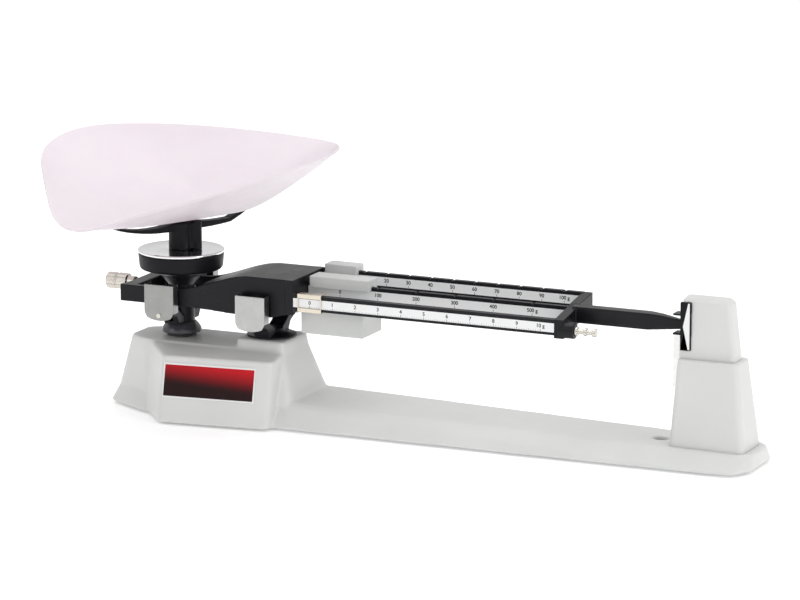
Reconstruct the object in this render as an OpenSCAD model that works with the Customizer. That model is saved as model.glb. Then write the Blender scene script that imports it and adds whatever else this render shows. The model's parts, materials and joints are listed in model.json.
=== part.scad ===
// Triple beam balance with scoop.
// Origin: on the table, straight below the main knife edge.
// +X runs along the beams to the indicator tower, +Y to the back, +Z up. Millimetres.

/* [Base] */
// Left end of the base, measured from the main knife edge
base_left = 118; // [117:1:124]
// Right end of the base, measured from the main knife edge
base_right = 353; // [352:1:358]
// Height of the low pedestal top under the pan
pedestal_h = 50; // [49:0.5:50.5]
// Wall thickness of the base casting
base_wall = 3; // [2.5:0.25:3.5]

/* [Beam] */
// Distance from the main knife edge to the pan knife edge
pan_arm = 68.5; // [66:0.5:70]
// Height of both knife edges above the table
knife_z = 81; // [80.8:0.1:81.2]
// Travel of the rear poise between its first and last notch
rear_travel = 162; // [150:1:162]
// Travel of the centre poise between its first and last notch
centre_travel = 140; // [130:1:140]
// Travel of the front rider along its scale
front_travel = 167; // [150:1:167]

/* [Pan] */
// Radius of the round pan seat
seat_r = 29.5; // [28:0.5:30]
// Length of the scoop from its lip to its tail
scoop_len = 219; // [212:1:224]
// Half width of the scoop at its middle
scoop_w = 107; // [100:1:112]
// Turn of the scoop on its seat, seen from above
scoop_turn = 63; // [0:1:90]

/* [Hidden] */

$fn = 64;
eps = 0.01;
post_fn = 32;               // facets of the posts inside a hull
base_z = 1.5;               // lower edge of the base casting
cover_t = 1.5;              // thickness of the bottom cover
cover_z = 2.5;              // underside of the bottom cover
platform_slope = 0.0166;    // fall of the platform top per mm to the right
raised_h = 6;               // step from the pan side to the fulcrum side of the pedestal
fulcrum_z = pedestal_h + raised_h;
pan_x = -pan_arm;

arm_y = 25;                 // outer face of the beam arms
arm_t = 4;                  // thickness of a beam arm
leg_in = 27.5;              // inner face of a bearing leg
leg_out = 31.5;             // outer face of a bearing leg
cover_out = 34;             // outer face of a bearing cover
sheet = 0.8;                // thickness of bent sheet parts
knife_end = 32.6;           // end of each knife
edge_gap = 0.05;            // gap that keeps an edge off its bearing
link_z = 14;                // height of the two check link pivots
pin_r = 1.5;                // radius of the check link pins
pin_fit = 0.08;             // running clearance on radius of pins and slides
beam_end = 217.4;           // inner face of the end frame
beam_start = 24;            // left end of the three beams
beam_t = 3.5;               // thickness of one beam
front_y = -23.75;
rear_y = 23.75;
front_top = 91.5;
centre_top = 95.5;
rear_top = 100.5;
strip_t = 0.6;              // thickness of a scale strip
strip_h = 6.1;              // height of a scale strip
rim_h = 2.5;                // black rim above each scale strip
rear_zero = 43;
centre_zero = 52;
pointer_z = 91.2;           // middle of the pointer at balance
tower_z = 11.5;             // floor of the recess that holds the tower
ledge_z = 70;               // step between the two tower parts
tower_wall = 2.5;
seat_z = 110;               // top of the pan seat
scoop_z = 130.2;              // underside of the scoop at its middle

function platform_z(x) = 17.8 - platform_slope * (x - 25);
function smooth(t) = let (u = min(1, max(0, t))) u * u * (3 - 2 * u);

// ---------- shared shapes ----------

// Vertical posts at mirrored places, thin, for use inside hull()
module posts(places, r, drop = 0) {
    for (p = places, side = [-1, 1])
        translate([p[0], side * p[1], p[2] - drop]) cylinder(r = r, h = eps, $fn = post_fn);
}

// A bar along Y between y0 and y1 with an outline given in X and Z
module along_y(y0, y1) {
    translate([0, y1, 0]) rotate([90, 0, 0]) linear_extrude(y1 - y0) children();
}

// A cylinder along Y
module pin_y(x, z, r, y0, y1) {
    translate([x, y0, z]) rotate([-90, 0, 0]) cylinder(r = r, h = y1 - y0);
}

// A cylinder along X
module pin_x(y, z, r, x0, x1) {
    translate([x0, y, z]) rotate([0, 90, 0]) cylinder(r = r, h = x1 - x0);
}

module box(x0, x1, y0, y1, z0, z1) {
    translate([x0, y0, z0]) cube([x1 - x0, y1 - y0, z1 - z0]);
}

module both_sides() {
    children();
    mirror([0, 1, 0]) children();
}

// ---------- base ----------

skirt_low = [[8 - base_left, 9, base_z], [-82, 25, base_z], [-52, 35, base_z],
    [base_right - 13, 28, base_z], [base_right - 8, 18, base_z]];
skirt_top = [[-102, 8, platform_z(-102)], [-80, 18, platform_z(-80)],
    [-52, 22.5, platform_z(-52)], [base_right - 12, 15.5, platform_z(base_right - 12)],
    [base_right - 7, 11, platform_z(base_right - 7)]];
pedestal_low = [[-103, 8, 15], [-80, 19, 15], [-54, 25, 15], [21, 25, 15]];
pedestal_top = [[-95, 9, pedestal_h - eps], [-85, 15.5, pedestal_h - eps],
    [12.5, 15.5, pedestal_h - eps]];
raised_low = [[-14, 17, pedestal_h - 4], [15.5, 17, pedestal_h - 4]];
raised_top = [[-14, 15.5, fulcrum_z - eps], [14, 15.5, fulcrum_z - eps]];

// The label panel stands proud of the front wall
panel_turn = 7;             // turn of the panel in plan
panel_tilt = 11.5;          // lean of the panel to the back
panel_h = pedestal_h - 4 - base_z;
panel_w = 71;
panel_post_r = 5;
panel_x = -56;
panel_y = -52;

module panel_solid(r, drop) {
    lean = panel_h * tan(panel_tilt);
    hull() {
        for (along = [0, panel_w], up = [0, 1])
            translate([panel_x + along * cos(panel_turn),
                    panel_y + along * sin(panel_turn) + up * lean,
                    base_z + up * (panel_h - drop - eps) - (1 - up) * drop])
                cylinder(r = r, h = eps, $fn = post_fn);
        for (p = [[-76, -29, base_z - drop], [14, -29, base_z - drop],
                [-80, -15, pedestal_h - 1 - drop], [12, -15, pedestal_h - 1 - drop]])
            translate(p) cylinder(r = r, h = eps, $fn = post_fn);
    }
}

cover_posts = [[-90, 0, pedestal_h - 2], [48, 18, 15.5], [48, -18, 15.5], [266, 0, 12]];
tower_bolts = [306, 334];
lock_x = 283.5;             // hole for a locking cable or a hold-down bolt
lock_r = 5;

module base_casting() color("gainsboro") difference() {
    union() {
        difference() {
            union() {
                hull() { posts(skirt_low, 8); posts(skirt_top, 6); }
                hull() { posts(pedestal_low, 8); posts(pedestal_top, 6); }
                hull() { posts(raised_low, 4); posts(raised_top, 4); }
                panel_solid(panel_post_r, 0);
            }
            hull() { posts(skirt_low, 8 - base_wall, eps); posts(skirt_top, 6 - base_wall, base_wall); }
            hull() { posts(pedestal_low, 8 - base_wall); posts(pedestal_top, 6 - base_wall, base_wall); }
            panel_solid(panel_post_r - base_wall, base_wall);
            box(-13, 14, -15.5, 15.5, pedestal_h - 8, fulcrum_z - base_wall);
        }
        for (p = cover_posts)
            translate([p[0], p[1], cover_z + cover_t])
                cylinder(r = 4, h = p[2] - cover_z - cover_t);
        for (x = tower_bolts) translate([x, 0, 7]) cylinder(r = 4.5, h = tower_z - 7);
        translate([lock_x, 0, 8.5]) cylinder(r = 8, h = 4);
    }
    for (p = cover_posts) translate([p[0], p[1], cover_z]) cylinder(r = 1.25, h = 8);
    for (x = tower_bolts) translate([x, 0, 6]) cylinder(r = 2.1, h = 8);
    for (y = [-10, 10]) translate([0, y, pedestal_h]) cylinder(r = 2.2, h = 10);
    translate([lock_x, 0, 5]) cylinder(r = lock_r, h = 15);
    translate([pan_x, 0, pedestal_h - 5]) cylinder(r = 7, h = 10);
    tower_recess();
}

// Shallow recess in the platform that follows the foot of the tower
module tower_recess() {
    r = foot_r + 0.4;
    low = lower_low[0];
    high = lower_low[1];
    box(low[0] - r, high[0] + r, -low[1], low[1], tower_z, tower_z + 8);
    box(low[0], high[0], -low[1] - r, low[1] + r, tower_z, tower_z + 8);
    for (p = lower_low, side = [-1, 1])
        translate([p[0], side * p[1], tower_z]) cylinder(r = r, h = 8);
}

cover_edge = [[-110, 11], [-82, 26], [-52, 36], [base_right - 20, 28],
    [base_right - 8, 18], [base_right - 4.5, 10]];

module bottom_cover() color("lightsteelblue") difference() {
    translate([0, 0, cover_z]) linear_extrude(cover_t)
        polygon(concat([for (p = cover_edge) p],
            [for (i = [len(cover_edge) - 1 : -1 : 0]) [cover_edge[i][0], -cover_edge[i][1]]]));
    for (p = cover_posts) translate([p[0], p[1], 0]) cylinder(r = 1.7, h = 10);
    translate([lock_x, 0, 0]) cylinder(r = 6.5, h = 10);
    for (x = tower_bolts) translate([x, 0, 0]) cylinder(r = 4.5, h = 10);
}

module cover_screws() color("silver")
    for (p = cover_posts) translate([p[0], p[1], cover_z]) {
        translate([0, 0, -1.2]) cylinder(r = 2.8, h = 1.2);
        translate([0, 0, -eps]) cylinder(r = 1.25, h = 7);
    }

foot_places = [[0, 0], [-86, 14], [-86, -14], [318, 20.5], [318, -20.5]];

module rubber_feet() color("dimgray")
    for (p = foot_places) translate([p[0], p[1], 0]) cylinder(r1 = 6.5, r2 = 7.5, h = cover_z);

module on_panel() {
    translate([panel_x, panel_y, base_z]) rotate([0, 0, panel_turn])
        translate([0, -panel_post_r, 0]) rotate([-panel_tilt, 0, 0]) children();
}

module label_plate() color("firebrick") on_panel()
    translate([-0.5, -0.65, 17.5]) cube([65.5, 0.6, 23.5]);

// ---------- fulcrum ----------

module bell(r, top_r, h, rim) {
    rotate_extrude() polygon(concat([[0, 0], [r, 0], [r, rim]],
        [for (i = [1 : 6]) let (t = i / 6)
            [r + (top_r - r) * (1 - pow(1 - t, 2)), rim + (h - rim) * pow(t, 1.6)]],
        [[0, h]]));
}

// Outline of one spreading leg, in Y and Z, from the foot to the outer head
module spreading_leg(half_x, foot_z, head_z) {
    rotate([90, 0, 90]) translate([0, 0, -half_x]) linear_extrude(2 * half_x)
        polygon([[5, foot_z], [15, foot_z], [18.5, foot_z + 6], [leg_out, foot_z + 11.5],
            [leg_out, head_z], [leg_in, head_z], [leg_in, foot_z + 15],
            [15, foot_z + 10.5], [10.5, foot_z + 7], [5, foot_z + 4]]);
}

bearing_half = 5;
bearing_h = 9;
head_half = 10.15;          // half width of a bearing head inside its cover
corner_r = 6;               // lower corners of a bearing cover

module main_bearing_seat() {
    box(-bearing_half, bearing_half, leg_in - 1, leg_out + 1, knife_z - 6.5, knife_z + 20);
}

module fulcrum_pillar() color("darkslategray") difference() {
    union() {
        translate([0, 0, fulcrum_z]) bell(17, 8, 5.5, 1.2);
        both_sides() {
            spreading_leg(5.5, fulcrum_z + 1, knife_z + 2.5);
            box(-head_half, head_half, leg_in, leg_out, 68.5, knife_z + 2.5);
        }
    }
    both_sides() main_bearing_seat();
    for (y = [-10, 10]) translate([0, y, fulcrum_z - 1]) cylinder(r = 1.9, h = 6);
}

module pillar_screws() color("silver")
    for (y = [-10, 10]) translate([0, y, fulcrum_z - base_wall - sheet * 2]) {
        translate([0, 0, -2.6]) cylinder(r = 3.5, h = 2.6);
        translate([0, 0, -eps]) cylinder(r = 1.9, h = 8.5);
    }

// Bearing block with a V groove that opens upward, outline in X and Z
module v_block(up) {
    low = knife_z - up * 6.5;
    high = knife_z + up * 2.5;
    groove = knife_z - up * edge_gap;
    mouth = abs(high - groove) * tan(50);
    polygon([[-bearing_half, low], [bearing_half, low], [bearing_half, high],
        [mouth, high], [0, groove], [-mouth, high], [-bearing_half, high]]);
}

module main_bearings() color("lightgray")
    both_sides() along_y(leg_in, leg_out) v_block(1);

// Sheet cap with a rounded lower end and two side flanges
module bearing_cover(centre, low, top, flange_low) {
    half = head_half + sheet + 0.05;
    both_sides() translate([centre, 0, 0]) {
        along_y(cover_out - sheet, cover_out) hull() {
            translate([-half, top - 8]) square([2 * half, 8]);
            for (s = [-1, 1])
                translate([s * (half - corner_r), low + corner_r + 1]) circle(r = corner_r);
            intersection() {
                translate([0, low + 2 * half]) circle(r = 2 * half, $fn = 96);
                translate([2 - half, low]) square([2 * half - 4, 3]);
            }
        }
        for (s = [-1, 1])
            box(s > 0 ? half - sheet : -half, s > 0 ? half : sheet - half,
                arm_y + 1.5, cover_out - sheet / 2, flange_low, top);
    }
}

module main_bearing_covers() color("silver") intersection() {
    bearing_cover(0, 64.6, 88.8, 70);
    box(-head_half - sheet - 0.05, head_half + sheet + 0.05, -60, 60, 60, 95);
}

// ---------- check link ----------

module stem_grommet() color("dimgray") translate([pan_x, 0, pedestal_h])
    difference() {
        cylinder(r = 10, h = 4);
        translate([0, 0, -1]) cylinder(r = 6.6, h = 6);
    }

module link_bracket() color("silver") difference() {
    union() {
        box(-9, 9, -14, 14, fulcrum_z - base_wall - 2 * sheet, fulcrum_z - base_wall);
        both_sides() {
            along_y(1.8, 4.3) hull() {
                translate([0, link_z]) circle(r = 5, $fn = 48);
                translate([-7, fulcrum_z - base_wall - 2]) square([14, 1]);
            }
        }
    }
    pin_y(0, link_z, pin_r, -20, 20);
    for (y = [-10, 10]) translate([0, y, 40]) cylinder(r = 2.2, h = 20);
}

module link_bracket_pin() color("gray") pin_y(0, link_z, pin_r, -5.5, 5.5);

module check_link() color("gray") difference() {
    along_y(-1.5, 1.5) {
        translate([0, link_z]) circle(r = 4);
        translate([pan_x, link_z]) circle(r = 4);
        translate([pan_x, link_z - 2.5]) square([pan_arm, 5]);
    }
    for (x = [pan_x, 0]) pin_y(x, link_z, pin_r + pin_fit, -5, 5);
}

// ---------- indicator tower ----------

foot_r = 4;                 // corner radius of the lower tower part
lower_low = [[298.5, 13.5, tower_z], [342.5, 13.5, tower_z]];
lower_top = [[301.8, 8.5, ledge_z - eps], [335.5, 8.5, ledge_z - eps]];
upper_low = [[300.2, 5, ledge_z], [333.5, 5, ledge_z]];
upper_mid = [[301.6, 4, 107.5], [329.5, 4, 107.5]];
upper_top = [[303.4, 1.8, 110.4], [327.5, 1.8, 110.4]];
slot_low = 75.5;
slot_high = 107.3;
slot_x = 304.4;
slit_half = 2.6;            // half width of the slit for the vane

upper_wall = 1.8;           // wall thickness of the upper tower part
upper_in = -6.2;            // inner face of its front wall

index_left = 299;           // left edge of the index plate
index_right = slot_x + 1.6;
index_front = -9;           // face of the index plate
mark_proud = 0.2;           // the mark stands this far in front of the plate
mark_deep = 0.5;            // depth of its groove

module index_block(front) {
    box(index_left, index_right, front, upper_in, slot_low, slot_high);
}

module tower_lower() color("gainsboro") difference() {
    union() {
        difference() {
            hull() { posts(lower_low, foot_r); posts(lower_top, foot_r); }
            difference() {
                hull() {
                    posts(lower_low, foot_r - tower_wall, -2);
                    posts(lower_top, foot_r - tower_wall);
                }
                box(280, 360, -30, 30, ledge_z - 2, ledge_z + 1);
            }
        }
        for (x = tower_bolts) translate([x, 0, tower_z]) cylinder(r = 4.5, h = 12);
    }
    for (x = tower_bolts) translate([x, 0, tower_z - 1]) cylinder(r = 1.6, h = 11);
    box(290, 314, -slit_half, slit_half, 37, ledge_z + 1);
    for (y = [-5, 5]) translate([322, y, ledge_z - 3]) cylinder(r = 1.25, h = 4);
}

module tower_upper() color("gainsboro") difference() {
    union() {
        hull() { posts(upper_low, 3); posts(upper_mid, 3); }
        hull() { posts(upper_mid, 3); posts(upper_top, 2.6); }
    }
    hull() { posts(upper_low, 3 - upper_wall, 1); posts(upper_mid, 3 - upper_wall); }
    box(290, slot_x, -12, 5.2, slot_low, slot_high);
    index_block(-12);
    box(290, 310, -slit_half, slit_half, ledge_z - 1, slot_low + 1);
}

module tower_screws() color("silver")
    for (x = tower_bolts) translate([x, 0, 7]) {
        translate([0, 0, -2.4]) cylinder(r = 3.2, h = 2.4);
        translate([0, 0, -eps]) cylinder(r = 1.6, h = 12);
    }

// Dark plate beside the slot, with a groove for the white index mark
module index_plate() color("dimgray") difference() {
    index_block(index_front);
    along_y(index_front - 1, index_front + mark_deep) index_outline();
}

// Wedge as high as the slot, with its point to the left at the balance line
module index_outline() {
    polygon([[index_left + 1.9, pointer_z], [slot_x, slot_low + 0.5], [index_right - 0.5, slot_low + 0.5],
        [index_right - 0.5, slot_high - 0.5], [slot_x, slot_high - 0.5]]);
}

module index_mark() color("white")
    along_y(index_front - mark_proud, index_front + mark_deep) index_outline();

magnet_x = 302;

module damping_magnets() color("dimgray")
    both_sides() box(magnet_x, magnet_x + 11, 2.4, 6, 48, 63);

module magnet_yoke() color("slategray") difference() {
    union() {
        both_sides() box(magnet_x, magnet_x + 14, 6, 7.6, 46, 65);
        box(magnet_x + 12.4, magnet_x + 14, -7.6, 7.6, 46, ledge_z - 2);
        box(magnet_x + 12.4, 327, -7.6, 7.6, ledge_z - 3.6, ledge_z - 2);
    }
    for (y = [-5, 5]) translate([322, y, ledge_z - 5]) cylinder(r = 1.5, h = 4);
}

module magnet_yoke_screws() color("silver")
    for (y = [-5, 5]) translate([322, y, ledge_z - 3.6]) {
        translate([0, 0, -1.6]) cylinder(r = 2.2, h = 1.6);
        translate([0, 0, -eps]) cylinder(r = 1.25, h = 3.4);
    }

// ---------- beam ----------

function beam_top(x) = 87 + 13.6 * smooth((x + 62) / 58);
function beam_low(x) = 75.2 - 1.9 * smooth((x + 50) / 45) + 3.5 * smooth((x - 8) / 18);
plate_start = -47;
plate_end = 28;

module arm_outline() {
    polygon(concat(
        [[-102.5, beam_top(-102.5)]],
        [for (x = [-62 : 4 : plate_end - 2]) [x, beam_top(x)]],
        [[plate_end, beam_top(plate_end)]],
        [for (i = [0 : 20]) let (x = plate_end - i * 4) [x, beam_low(x)]],
        [[-102.5, 75.4]]));
}

module plate_outline() {
    xs = [for (i = [0 : 19]) plate_start + i * (plate_end - plate_start) / 19];
    polygon(concat([for (x = xs) [x, beam_top(x)]],
        [for (i = [19 : -1 : 0]) [xs[i], beam_top(xs[i]) - 3.2]]));
}

// Main knife has its edge down, a pan knife has its edge up
module knife_outline(up) {
    depth = up > 0 ? 6 : 4.8;
    shoulder = up > 0 ? 4.2 : 3.2;
    w = up > 0 ? 2.4 : 2;
    polygon([[0, knife_z], [w, knife_z + up * shoulder], [w, knife_z + up * depth],
        [-w, knife_z + up * depth], [-w, knife_z + up * shoulder]]);
}

module one_beam(y, top, height) {
    difference() {
        box(beam_start, beam_end + 1, y - beam_t / 2, y + beam_t / 2, top - height, top);
        box(beam_start + 4.5, beam_end, y - beam_t / 2 - 1, y - beam_t / 2 + strip_t,
            top - rim_h - strip_h, top - rim_h);
    }
}

module notches(y, top, zero, pitch, count) {
    for (i = [0 : count]) translate([zero + i * pitch, y, top])
        rotate([0, 45, 0]) cube([1.5, beam_t + 2, 1.5], center = true);
}

stud_y = -22;
stud_z = 84.4;
knob_z = 83.2;
screw_r = 1.75;             // radius of the zero screw

module pointer_arm() {
    box(beam_end + 4, 274, -4.5, 4.5, pointer_z - 5.5, pointer_z + 5.5);
    hull() {
        box(273, 274, -4.5, 4.5, pointer_z - 5.5, pointer_z + 5.5);
        box(282, 283, -3.4, 3.4, pointer_z - 4, pointer_z + 4.8);
        box(297, 298, -1.6, 1.6, pointer_z - 3.4, pointer_z + 2.4);
    }
}

module end_frame() {
    rotate([90, 0, 90]) translate([0, 0, beam_end]) linear_extrude(6.6)
        polygon([[-25.5, 79], [-17, 78.6], [-8, 81.5], [25.5, 91.5], [25.5, rear_top],
            [3, 97.2], [-3, centre_top], [-25.5, front_top]]);
    pin_x(stud_y, stud_z, 5.2, beam_end + 3, 231);
}

module beam_frame() color("darkslategray") difference() {
    union() {
        both_sides() along_y(arm_y - arm_t, arm_y) arm_outline();
        along_y(-arm_y, arm_y) plate_outline();
        box(-102.5, -92.5, -arm_y, arm_y, 76.4, 86.4);
        box(plate_end - 5, plate_end, -25.5, 25.5, 78.5, beam_top(plate_end));
        one_beam(front_y, front_top, front_top - 81);
        one_beam(0, centre_top, centre_top - 83.5);
        one_beam(rear_y, rear_top, rear_top - 89.5);
        end_frame();
        pointer_arm();
    }
    along_y(-40, 40) knife_outline(1);
    translate([pan_x, 0, 0]) along_y(-40, 40) knife_outline(-1);
    notches(rear_y, rear_top, rear_zero, rear_travel / 10, 10);
    notches(0, centre_top, centre_zero, centre_travel / 5, 5);
    pin_x(stud_y, stud_z, 2, 225, 240);
    pin_x(0, knob_z, screw_r, -110, -90);
}

module main_knife() color("silver") along_y(-knife_end, knife_end) knife_outline(1);

module pan_knives() color("silver") translate([pan_x, 0, 0])
    both_sides() along_y(19.5, knife_end) knife_outline(-1);

module scale_strip(y, top) {
    box(beam_start + 4.5, beam_end, y - beam_t / 2, y - beam_t / 2 + strip_t,
        top - rim_h - strip_h, top - rim_h);
}

module rear_scale() color("white") scale_strip(rear_y, rear_top);
module centre_scale() color("white") scale_strip(0, centre_top);
module front_scale() color("white") scale_strip(front_y, front_top);

flag_x = 298;

// Bent strip on the end of the pointer: a web with a lip at the top and the bottom
module pointer_flag() color("darkslategray") {
    box(flag_x, flag_x + 1, -5.5, 3.2, pointer_z - 6.6, pointer_z + 7.4);
    for (z = [pointer_z - 6.6, pointer_z + 6.2])
        box(flag_x - 5.5, flag_x + eps, -5.5, 3.2, z, z + 1.2);
}

module damping_vane() color("silver") along_y(-0.5, 0.5)
    polygon([[291, 49], [309, 49], [311, 51], [311, 72], [305, 79], [flag_x, pointer_z - 6.6],
        [291, pointer_z - 6.6]]);

module weight_stud() color("silver") {
    pin_x(stud_y, stud_z, 2, 226, 231);
    pin_x(stud_y, stud_z, 3, 231, 233.2);
    pin_x(stud_y, stud_z, 1.7, 233, 237.6);
    pin_x(stud_y, stud_z, 2.6, 237.5, 239.5);
    pin_x(stud_y, stud_z, 1.7, 239.4, 243.6);
    pin_x(stud_y, stud_z, 2.8, 243.5, 246);
}

knob_x = -125;
knob_len = 21.5;

module zero_screw() color("silver") pin_x(0, knob_z, screw_r, -122, -92.5);

module zero_knob() color("silver") difference() {
    translate([knob_x, 0, knob_z]) rotate([0, 90, 0]) {
        cylinder(r1 = 4.9, r2 = 5.6, h = 0.8);
        translate([0, 0, 0.8]) cylinder(r = 5.6, h = knob_len - 6);
        translate([0, 0, knob_len - 5.3]) cylinder(r = 4.2, h = 5.3);
    }
    pin_x(0, knob_z, screw_r + pin_fit, knob_x - 1, knob_x + knob_len + 1);
    for (a = [0 : 15 : 345]) translate([knob_x - 1, 0, knob_z]) rotate([a, 0, 0])
        translate([0, 0, 5.75]) rotate([45, 0, 0]) translate([0, -0.35, -0.35])
            cube([knob_len - 4.2, 0.7, 0.7]);
}

// ---------- pan hanger ----------

stem_r = 4.5;

module pan_hanger() color("darkslategray") translate([pan_x, 0, 0]) difference() {
    union() {
        translate([0, 0, 8.5]) cylinder(r = stem_r, h = 52);
        translate([0, 0, 60]) cylinder(r = 9, h = 30);
        translate([0, 0, 86]) cylinder(r1 = 9, r2 = 15.5, h = 7);
        both_sides() {
            spreading_leg(5.5, 60, knife_z + 8);
            box(-head_half, head_half, leg_in, leg_out, 68.5, knife_z + 8);
            pin_y(0, 69.6, 2.4, leg_out - 1, cover_out - sheet);
        }
    }
    both_sides() {
        box(-bearing_half, bearing_half, leg_in - 1, leg_out + 1, 73.5, knife_z + 6.5);
        pin_y(0, 69.6, 0.8, leg_in, 40);
    }
    box(-1.75, 1.75, -20, 20, 62, 67);
    box(-10, 10, -1.6, 1.6, 0, 20);
    pin_y(0, link_z, pin_r, -10, 10);
    for (a = [45, 225]) rotate([0, 0, a]) translate([10.5, 0, 89.3]) cylinder(r = 1.25, h = 10);
}

module pan_bearings() color("lightgray") translate([pan_x, 0, 0])
    both_sides() along_y(leg_in, leg_out) v_block(-1);

module pan_bearing_covers() color("silver") difference() {
    intersection() {
        bearing_cover(pan_x, 66, 90.7, 71);
        box(pan_x - head_half - sheet - 0.05, pan_x + head_half + sheet + 0.05,
            -60, 60, 60, 95);
    }
    pin_y(pan_x, 69.6, 0.9, -60, 60);
}

module pan_cover_rivets() color("white") both_sides() {
    pin_y(pan_x, 69.6, 0.8, leg_in + 1, cover_out);
    pin_y(pan_x, 69.6, 1.6, cover_out, cover_out + 0.6);
}

module dust_skirt() color("dimgray") translate([pan_x, 0, 0]) rotate_extrude()
    polygon([[stem_r, 56.5], [stem_r, 60], [9, 60], [11, 58], [13.8, 55.2], [13.8, 52.6],
        [12, 52.6], [12, 55], [10.4, 56.5]]);

module link_stem_pin() color("gray") pin_y(pan_x, link_z, pin_r, -stem_r, stem_r);

module seat_cup() color("darkslategray") translate([pan_x, 0, 0]) difference() {
    rotate_extrude() polygon([[0, 93], [15.5, 93], [22, 95], [27.8, 97], [28.6, 98.2],
        [seat_r - 0.2, seat_z - 1.8], [0, seat_z - 1.8]]);
    translate([0, 0, 101]) cylinder(r = 6, h = 20);
    for (a = [45, 225]) rotate([0, 0, a]) translate([10.5, 0, 80]) {
        cylinder(r = 1.7, h = 40);
        translate([0, 0, seat_z - 80 - 6]) cylinder(r = 3.2, h = 10);
    }
}

module seat_screws() color("silver") translate([pan_x, 0, 0])
    for (a = [45, 225]) rotate([0, 0, a]) translate([10.5, 0, 0]) {
        translate([0, 0, 89.5]) cylinder(r = 1.25, h = seat_z - 6 - 89.5 + eps);
        translate([0, 0, seat_z - 6]) cylinder(r = 2.8, h = 2);
    }

module seat_plate() color("silver") translate([pan_x, 0, seat_z - 1.8]) difference() {
    union() {
        cylinder(r = seat_r, h = 1.3);
        translate([0, 0, 1.3]) cylinder(r1 = seat_r, r2 = seat_r - 0.5, h = 0.5);
    }
    translate([0, 0, -1]) cylinder(r = 6, h = 5);
}

// ---------- scoop and its support ----------

// Scoop outline: q runs from -1 at the lip to 1 at the tail
scoop_back = scoop_len * 0.583;     // from the seat axis to the tail
scoop_mid = scoop_back - scoop_len / 2;
scoop_wall = 1.6;
scoop_power = 1.6;          // roundness of the bowl across its width
lip_rim = 3.2;              // height of the lip
full_rim = 48;              // height of the wall at the middle
tail_rim = 38.1;            // height of the tail
keel_from = 37.3;           // where the keel starts to rise
function scoop_s(q) = scoop_mid + scoop_len / 2 * q;
function scoop_half(q) = sqrt(max(0, 1 - q * q)) * scoop_w * (1 - 0.375 * q - 0.124 * q * q)
    * (1 - 0.32 * smooth((-q - 0.5) / 0.5));
function scoop_rim(q) = q > 0 ? full_rim - (full_rim - tail_rim) * q * q
    : full_rim - (full_rim - lip_rim) * pow(-q, 2.4);
function scoop_keel(q) = q < 0 ? lip_rim * pow(-q, 3)
    : tail_rim * pow(max(0, (scoop_s(q) - keel_from) / (scoop_back - keel_from)), 1.12);
function scoop_point(q, v, lift) = [scoop_s(q), v * scoop_half(q),
    scoop_z + lift + scoop_keel(q) + (scoop_rim(q) - scoop_keel(q)) * pow(abs(v), scoop_power)];

scoop_rows = 25;
scoop_cols = 18;

module scoop_shell() {
    nr = scoop_rows;
    nc = scoop_cols;
    layer = (nr + 1) * (nc + 1);
    function at(k, i, j) = k * layer + i * (nc + 1) + j;
    grid = [for (k = [0, 1], i = [0 : nr], j = [0 : nc])
        let (q = -0.998 * cos(180 * i / nr), v = 2 * j / nc - 1)
        scoop_point(q, v, k * scoop_wall)];
    faces = concat(
        [for (i = [0 : nr - 1], j = [0 : nc - 1]) each [
            [at(0, i, j), at(0, i + 1, j), at(0, i + 1, j + 1)],
            [at(0, i, j), at(0, i + 1, j + 1), at(0, i, j + 1)],
            [at(1, i, j), at(1, i + 1, j + 1), at(1, i + 1, j)],
            [at(1, i, j), at(1, i, j + 1), at(1, i + 1, j + 1)]]],
        [for (i = [0 : nr - 1]) each [
            [at(0, i, 0), at(1, i + 1, 0), at(0, i + 1, 0)],
            [at(0, i, 0), at(1, i, 0), at(1, i + 1, 0)],
            [at(0, i, nc), at(0, i + 1, nc), at(1, i + 1, nc)],
            [at(0, i, nc), at(1, i + 1, nc), at(1, i, nc)]]],
        [for (j = [0 : nc - 1]) each [
            [at(0, 0, j), at(0, 0, j + 1), at(1, 0, j + 1)],
            [at(0, 0, j), at(1, 0, j + 1), at(1, 0, j)],
            [at(0, nr, j), at(1, nr, j + 1), at(0, nr, j + 1)],
            [at(0, nr, j), at(1, nr, j), at(1, nr, j + 1)]]]);
    polyhedron(grid, faces);
}

module on_seat() translate([pan_x, 0, 0]) rotate([0, 0, scoop_turn]) children();

module scoop() color("thistle") on_seat() scoop_shell();

rest_gap = 0.1;             // gap between the support and the scoop
arm_sag = 3.5;              // how far an arm bows down between the hub and its tip
keel_lag = 2.5;             // the arm lags the rising keel by this, so that it never cuts in

// Height of the support under the scoop at s
function arm_top(s) = scoop_z - rest_gap
    + scoop_keel((max(s - keel_lag, min(s, 0)) - scoop_mid) / (scoop_len / 2));

// Curved arm in S and Z that follows the underside of the scoop
module support_arm(reach) {
    steps = 8;
    tip_t = 2;
    root_t = 6.5;
    function top_z(t) = arm_top(reach * t) - arm_sag * 4 * t * (1 - t);
    top = [for (i = [0 : steps]) let (t = i / steps) [reach * t, top_z(t)]];
    low = [for (i = [steps : -1 : 0]) let (t = i / steps)
        [reach * t, top_z(t) - tip_t - (root_t - tip_t) * pow(1 - t, 2)]];
    polygon(concat(top, low));
}

module scoop_support() color("darkslategray") on_seat() {
    translate([0, 0, 102]) cylinder(r = 5.9, h = seat_z - 101.9);
    translate([0, 0, seat_z]) cylinder(r = 8.4, h = scoop_z - seat_z - 1.5);
    translate([6.5, -9, seat_z]) cylinder(r = 3.7, h = scoop_z - seat_z - 0.4);
    box(0, 7, -10, -6, seat_z + 1, scoop_z - 2);
    along_y(-4, 4) {
        support_arm(63);
        support_arm(-54);
    }
}

// ---------- poises ----------

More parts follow.
